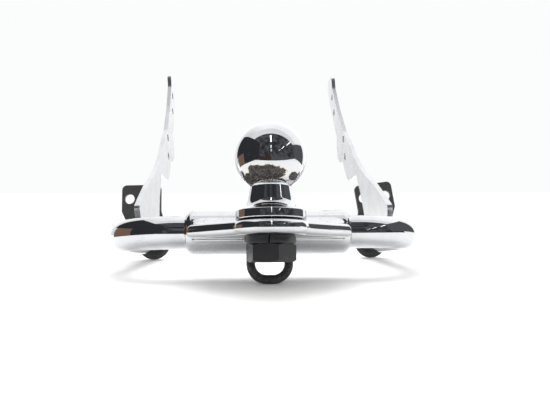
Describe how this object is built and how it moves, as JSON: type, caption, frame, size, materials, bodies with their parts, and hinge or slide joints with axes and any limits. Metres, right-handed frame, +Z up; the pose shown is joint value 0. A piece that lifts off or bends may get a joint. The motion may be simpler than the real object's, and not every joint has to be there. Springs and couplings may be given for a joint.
{
  "type": "trailer hitch with ball",
  "caption": "Bent chrome crossbar with a tongue plate that carries a tow ball, a safety-chain loop, flat side struts and swivelling end brackets.",
  "frame": {"origin": "centre of the tow ball", "axes": "+Z up along the ball's shank, +Y forwards to the vehicle, +X to the right seen from the trailer"},
  "size_m": [0.3062, 0.3384, 0.2751],
  "materials": {
    "chrome_plate": "bright chrome plate with fine pits",
    "ball_chrome": "bright chrome plate, worn through in patches on the lower front",
    "weld_chrome": "rippled weld metal under chrome plate",
    "black_oxide": "satin black, edges worn",
    "black_paint": "satin black powder coat",
    "fastener_black": "satin black oxide",
    "plain_steel": "machined steel"
  },
  "bodies": {
    "frame": {"crossbar_tube": "chrome_plate", "centre_sleeve": "chrome_plate", "tongue_plate": "chrome_plate", "tongue_weld": "weld_chrome", "tow_ball": "ball_chrome", "left_strut": "chrome_plate", "right_strut": "chrome_plate", "left_strut_weld": "weld_chrome", "right_strut_weld": "weld_chrome", "lock_washer": "black_oxide", "ball_nut": "black_oxide", "chain_loop": "black_oxide", "loop_weld": "black_oxide", "left_end_plug": "plain_steel", "right_end_plug": "plain_steel", "left_flat_washer": "fastener_black", "right_flat_washer": "fastener_black", "left_spring_washer": "fastener_black", "right_spring_washer": "fastener_black", "left_pivot_bolt": "fastener_black", "right_pivot_bolt": "fastener_black"},
    "left_bracket": {"left_bracket": "black_paint"},
    "right_bracket": {"right_bracket": "black_paint"}
  },
  "joints": [
    {"name": "left_bracket_swivel", "type": "hinge", "parent": "frame", "child": "left_bracket", "pos_m": [-0.1199, 0.2012, -0.0454], "axis": [0, 1, 0], "continuous": true},
    {"name": "right_bracket_swivel", "type": "hinge", "parent": "frame", "child": "right_bracket", "pos_m": [0.1199, 0.2012, -0.0454], "axis": [0, 1, 0], "continuous": true}
  ]
}
